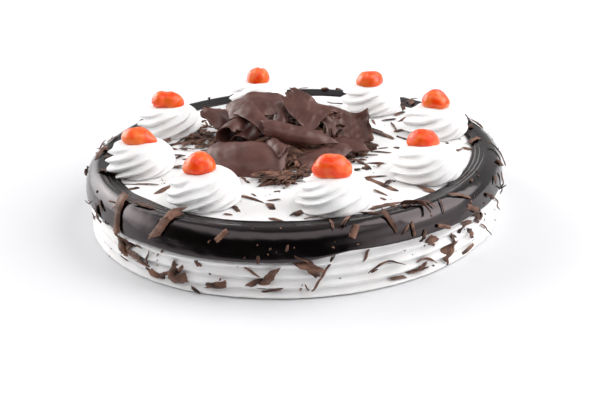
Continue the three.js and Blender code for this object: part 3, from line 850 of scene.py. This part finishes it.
def scattered(kinds, seed, on_top, on_edge, longest, widest):
    """Shavings of the given kinds: the placed ones, then more thrown at random over the cake."""
    parts = []

    def random_one(seed_of_one):
        size = longest * draw.uniform(0.25, 1), widest * draw.uniform(0.4, 1)
        return shaving(kinds[0], *size, seed_of_one)

    for order, (kind, x, y, heading, length, width) in enumerate(on_cream):
        if kind in kinds:
            points, faces = shaving(kind, length, width, seed=500 + order)
            parts.append((drop(points, x, y, heading), faces))
    for order, (kind, angle, out, slant, length, width) in enumerate(on_outside):
        if kind in kinds:
            points, faces = shaving(kind, length, width, seed=600 + order)
            parts.append((lay(points, angle, out, slant), faces))
    draw = np.random.default_rng(seed)
    for order in range(on_top):
        points, faces = random_one(seed + order)
        angle = draw.uniform(0, 2 * math.pi)
        away = 38 + 66 * draw.uniform() ** 1.3
        x, y = away * math.cos(angle), away * math.sin(angle)
        parts.append((drop(points, x, y, draw.uniform(0, 360)), faces))
    for order in range(on_edge):
        points, faces = random_one(seed - order)
        angle = draw.uniform(0, 360) if order % 3 == 0 else draw.uniform(-5, 185)
        parts.append((lay(points, angle, draw.uniform(2, 53), draw.uniform(0, 180)), faces))
    return many(parts)


def crumbs():
    """Specks of chocolate: on the cream, thickest near the heap, and over glaze and side."""
    draw = np.random.default_rng(91)
    parts = []
    for crumb in range(420):
        size = 0.5 + 1.4 * draw.uniform() ** 2
        widths = (size * 0.5, size * 0.8, size * 0.4)
        points, faces = scraped_sheet(size, widths, arc=40, bow=40, heading=0, rise=0, roll=0,
                                      seed=900 + crumb, steps=(2, 2), thickness=0.4 * MM,
                                      ragged=3, chatter=0)
        angle = draw.uniform(0, 360)
        if crumb < 240:
            away = 36 + 70 * draw.uniform() ** 1.4
            x, y = away * math.cos(angle), away * math.sin(angle)
            parts.append((drop(points, x, y, draw.uniform(0, 360), 0.25), faces))
        else:
            parts.append((lay(points, angle, draw.uniform(0, 54), draw.uniform(0, 180), 0.2), faces))
    return many(parts)


def spilled():
    """The spill of fine shavings in front of the heap and to its left."""
    draw = np.random.default_rng(93)
    parts = []
    for order in range(96):
        in_front = order < 56
        kind = "flake" if draw.uniform() < 0.6 else "sliver"
        width = draw.uniform(1.8, 4.6) if kind == "flake" else draw.uniform(1, 2)
        points, faces = shaving(kind, draw.uniform(5, 14), width, seed=1400 + order)
        if in_front:
            x, y, lift = -9 + 9 * draw.normal(), -46 + 6 * draw.normal(), 0.6 + 3.5 * draw.uniform()
        else:
            x, y, lift = -58 + 8 * draw.normal(), 24 + 10 * draw.normal(), 0.6 + 1.5 * draw.uniform()
        parts.append((drop(points, x, y, draw.uniform(0, 360), lift), faces))
    return many(parts)


shavings = {
    "slivers": scattered(("sliver",), 301, on_top=46, on_edge=60, longest=12, widest=1.8),
    "flakes": scattered(("flake",), 331, on_top=26, on_edge=60, longest=12, widest=4),
    "small_curls": scattered(("roll", "arch"), 361, on_top=8, on_edge=14, longest=8, widest=2),
    "crumbs": crumbs(),
    "spilled_shavings": spilled(),
}
for name, (points, faces) in shavings.items():
    shavings_piece = mesh_piece(name, points, faces)
    shavings_piece.data.materials.append(shaved_finish)
    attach(shavings_piece, "root")


# ---------------------------------------------------------------------------
# The floor. A plain pale table top with a dull finish, wide enough to fill the
# view from every side.
# ---------------------------------------------------------------------------
def table_top():
    reach = 4.0
    crossings = 9
    lines = np.linspace(-reach, reach, crossings)
    grid = np.array([[(x, y, -0.2 * MM) for x in lines] for y in lines])
    index = np.arange(crossings**2).reshape(crossings, crossings)
    faces = np.stack([index[:-1, :-1], index[:-1, 1:], index[1:, 1:], index[1:, :-1]], -1).reshape(-1, 4)
    floor = mesh_piece("table_top", grid.reshape(-1, 3), faces)
    material, tree, shader = finish("pale_table", Roughness=0.6)
    tint(tree, shader, (0.80, 0.80, 0.815), (0.82, 0.82, 0.835), 0.3)
    shader.inputs["Specular IOR Level"].default_value = 0.2
    floor.data.materials.append(material)
    return floor


table_top()


# ---------------------------------------------------------------------------
# The light. A white tent, turned a little: brightest at its left side, dimmer
# at the right and behind, dark low at the front, with a soft strip high above
# the front. A key softbox stands at the right, a smaller one at the back left.
# ---------------------------------------------------------------------------
def light_tent():
    world = bpy.data.worlds.new("light_tent")
    bpy.context.scene.world = world
    world.use_nodes = True
    tree = world.node_tree
    sky = tree.nodes["Background"]
    sky.inputs["Color"].default_value = (1, 1, 1, 1)
    place = tree.nodes.new("ShaderNodeTexCoord")
    split = tree.nodes.new("ShaderNodeSeparateXYZ")
    opening = tree.nodes.new("ShaderNodeMapping")
    opening.inputs["Rotation"].default_value = (0, 0, math.radians(27))
    tree.links.new(place.outputs["Generated"], opening.inputs["Vector"])
    tree.links.new(opening.outputs["Vector"], split.inputs["Vector"])

    def slope(axis, start, stop, low, high):
        node = tree.nodes.new("ShaderNodeMapRange")
        node.interpolation_type = "SMOOTHSTEP"
        for socket, value in zip(("From Min", "From Max", "To Min", "To Max"), (start, stop, low, high)):
            node.inputs[socket].default_value = value
        tree.links.new(axis, node.inputs["Value"])
        return node.outputs["Result"]

    def combine(operation, first, second=None):
        node = tree.nodes.new("ShaderNodeMath")
        node.operation = operation
        tree.links.new(first, node.inputs[0])
        if second is not None:
            tree.links.new(second, node.inputs[1])
        return node.outputs["Value"]

    sideways = combine("ABSOLUTE", split.outputs["X"])
    around = slope(split.outputs["Y"], -0.6, 0.15, 0.02, 0.46)
    sides = slope(sideways, 0.66, 0.96, 0.0, 2.4)
    sides = combine("MULTIPLY", sides, slope(split.outputs["Z"], 0.0, 0.5, 0.6, 1.6))
    sides = combine("MULTIPLY", sides, slope(split.outputs["X"], -0.3, 0.3, 1.4, 0.48))
    strip_low = slope(split.outputs["Z"], 0.62, 0.72, 0.0, 1.55)
    strip_high = slope(split.outputs["Z"], 0.86, 0.95, 1.0, 0.0)
    strip_front = slope(split.outputs["Y"], -0.3, -0.05, 1.0, 0.0)
    strip = combine("MULTIPLY", combine("MULTIPLY", strip_low, strip_high), strip_front)
    total = combine("ADD", combine("ADD", around, sides), strip)
    tree.links.new(total, sky.inputs["Strength"])


def softbox(name, place, aim, size, brightness):
    """An area light; brightness is how bright its face looks, where 1 is white paper."""
    lamp = bpy.data.lights.new(name, "AREA")
    lamp.shape = "RECTANGLE"
    lamp.size, lamp.size_y = size
    lamp.energy = brightness * math.pi * size[0] * size[1]
    box = bpy.data.objects.new(name, lamp)
    box.location = place
    box.rotation_euler = (Vector(aim) - Vector(place)).to_track_quat("-Z", "Y").to_euler()
    bpy.context.scene.collection.objects.link(box)


light_tent()
cake_middle = (0, 0, cake_top)
softbox("key_softbox", (1.0, 0.0, 1.0), cake_middle, (1.3, 1.3), 3.0)
softbox("back_left_softbox", (-0.8, 0.9, 0.9), cake_middle, (0.9, 0.9), 1.4)


# ---------------------------------------------------------------------------
# The camera. It looks a little down on the cake's front from two thirds of a
# metre, with a short tele lens, and leans by two and a half degrees.
# ---------------------------------------------------------------------------
def camera():
    aim = Vector((2.8, 0, 2.7)) * MM
    distance = 660.4 * MM
    raised = math.radians(23.11)
    leaned = math.radians(2.47)
    back = Vector((0, -math.cos(raised), math.sin(raised)))
    right = Vector((1, 0, 0))
    up = back.cross(right)
    level_right = right * math.cos(leaned) - up * math.sin(leaned)
    level_up = right * math.sin(leaned) + up * math.cos(leaned)
    lens = bpy.data.cameras.new("camera")
    lens.sensor_width = 36
    lens.lens = 62.87
    eye = bpy.data.objects.new("camera", lens)
    turn = Matrix((level_right, level_up, back)).transposed().to_4x4()
    eye.matrix_world = Matrix.Translation(aim + back * distance) @ turn
    bpy.context.scene.collection.objects.link(eye)
    bpy.context.scene.camera = eye


camera()
bpy.context.scene.view_settings.view_transform = "Standard"
